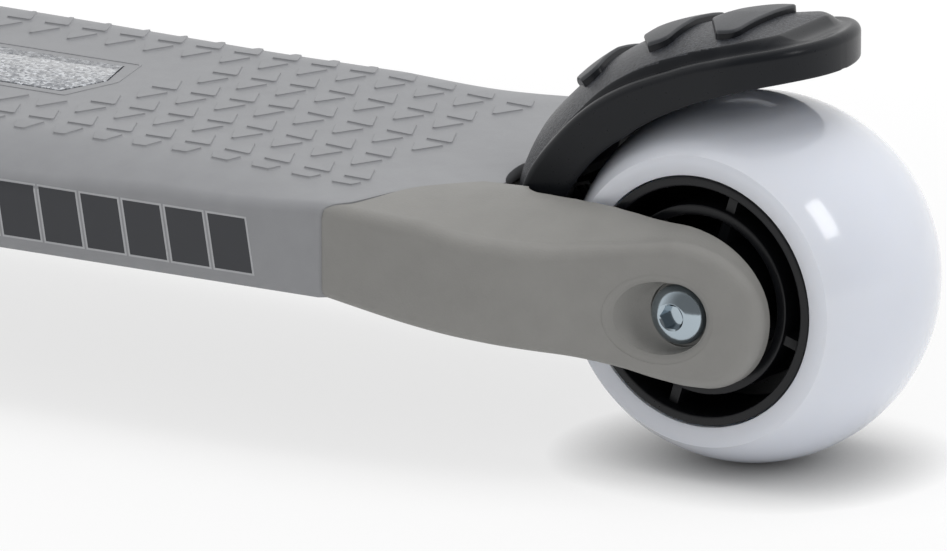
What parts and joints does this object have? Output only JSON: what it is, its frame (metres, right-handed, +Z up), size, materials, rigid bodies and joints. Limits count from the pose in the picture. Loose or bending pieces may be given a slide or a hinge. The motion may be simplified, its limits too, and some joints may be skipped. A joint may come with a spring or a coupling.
{
  "type": "three-wheel kick scooter",
  "caption": "Lean-to-steer kick scooter with a moulded deck, forked rear wheel under a sprung fender brake, front truck wheels and a telescopic T-bar.",
  "frame": {"origin": "on the floor, under the middle of the scooter's length and width", "axes": "+X forward, the way it rolls; +Y the rider's left, along the wheel axles; +Z up"},
  "size_m": [0.55, 0.25, 0.6593],
  "materials": {
    "cover": "light cool grey moulding, satin",
    "frame": "warm grey glass-filled nylon, fine grain",
    "glitter": "silver glitter under clear lacquer",
    "brake": "black nylon, grained top, smooth sides",
    "core": "black moulded nylon, satin",
    "tyre": "milky translucent cast polyurethane, glossy",
    "zinc": "bluish zinc plate",
    "steel": "plain ground steel",
    "bush": "black acetal",
    "tube": "satin black powder coat on aluminium",
    "collar": "black anodised",
    "lever": "black nylon",
    "grip": "soft matt black rubber"
  },
  "bodies": {
    "base": {"chassis": "frame", "deck_cover": "cover", "deck_badge": "glitter", "brake_pin": "steel", "brake_spring": "steel", "rear_axle_barrel": "zinc", "rear_axle_screw": "zinc", "rear_inner_ring_left": "steel", "rear_inner_ring_right": "steel", "rear_spacer": "steel", "rear_washer_left": "steel", "rear_washer_right": "steel", "steering_head": "frame", "pivot_bolt": "zinc", "pivot_nut": "zinc", "stem_tube": "tube", "stem_bolt": "zinc", "stem_nut": "zinc", "guide_bush": "bush", "clamp_collar": "collar", "clamp_bolt": "zinc", "clamp_nut": "zinc"},
    "rear_wheel": {"rear_tyre": "tyre", "rear_hub": "core", "rear_bearing_left": "steel", "rear_bearing_right": "steel"},
    "brake": {"brake_fender": "brake", "brake_pad": "steel"},
    "front_truck": {"truck_beam": "frame", "pivot_bush_front": "bush", "pivot_bush_rear": "bush", "return_spring_left": "steel", "return_spring_right": "steel", "front_axle_bolt_left": "zinc", "front_axle_bolt_right": "zinc", "front_inner_ring_inner_left": "steel", "front_inner_ring_outer_left": "steel", "front_spacer_left": "steel", "front_washer_left": "steel", "front_inner_ring_inner_right": "steel", "front_inner_ring_outer_right": "steel", "front_spacer_right": "steel", "front_washer_right": "steel"},
    "front_wheel_left": {"front_tyre_left": "tyre", "front_hub_left": "core", "front_bearing_inner_left": "steel", "front_bearing_outer_left": "steel"},
    "front_wheel_right": {"front_tyre_right": "tyre", "front_hub_right": "core", "front_bearing_inner_right": "steel", "front_bearing_outer_right": "steel"},
    "clamp_lever": {"clamp_lever": "lever"},
    "handlebar": {"handlebar": "tube", "grip_left": "grip", "grip_right": "grip"}
  },
  "joints": [
    {"name": "rear_wheel_spin", "type": "hinge", "parent": "base", "child": "rear_wheel", "pos_m": [-0.235, 0, 0.04], "axis": [0, 1, 0], "continuous": true},
    {"name": "brake_press", "type": "hinge", "parent": "base", "child": "brake", "pos_m": [-0.1885, 0, 0.051], "axis": [0, -1, 0], "range_deg": [0, 4.8], "stiffness_Nm_per_rad": 2, "springref_deg": -14.32, "deforming": ["brake_spring"]},
    {"name": "lean_steer", "type": "hinge", "parent": "base", "child": "front_truck", "pos_m": [0.215, 0, 0.06], "axis": [0.866, 0, 0.5], "range_deg": [-12, 12], "stiffness_Nm_per_rad": 40, "deforming": ["return_spring_left", "return_spring_right"]},
    {"name": "front_left_wheel_spin", "type": "hinge", "parent": "front_truck", "child": "front_wheel_left", "pos_m": [0.215, 0.102, 0.06], "axis": [0, 1, 0], "continuous": true},
    {"name": "front_right_wheel_spin", "type": "hinge", "parent": "front_truck", "child": "front_wheel_right", "pos_m": [0.215, -0.102, 0.06], "axis": [0, 1, 0], "continuous": true},
    {"name": "handlebar_height", "type": "slide", "parent": "base", "child": "handlebar", "axis": [-0.1564, 0, 0.9877], "range_m": [0, 0.12]},
    {"name": "clamp_release", "type": "hinge", "parent": "base", "child": "clamp_lever", "pos_m": [0.17852, 0.0145, 0.40706], "axis": [0.1564, 0, -0.9877], "range_deg": [0, 110]}
  ]
}
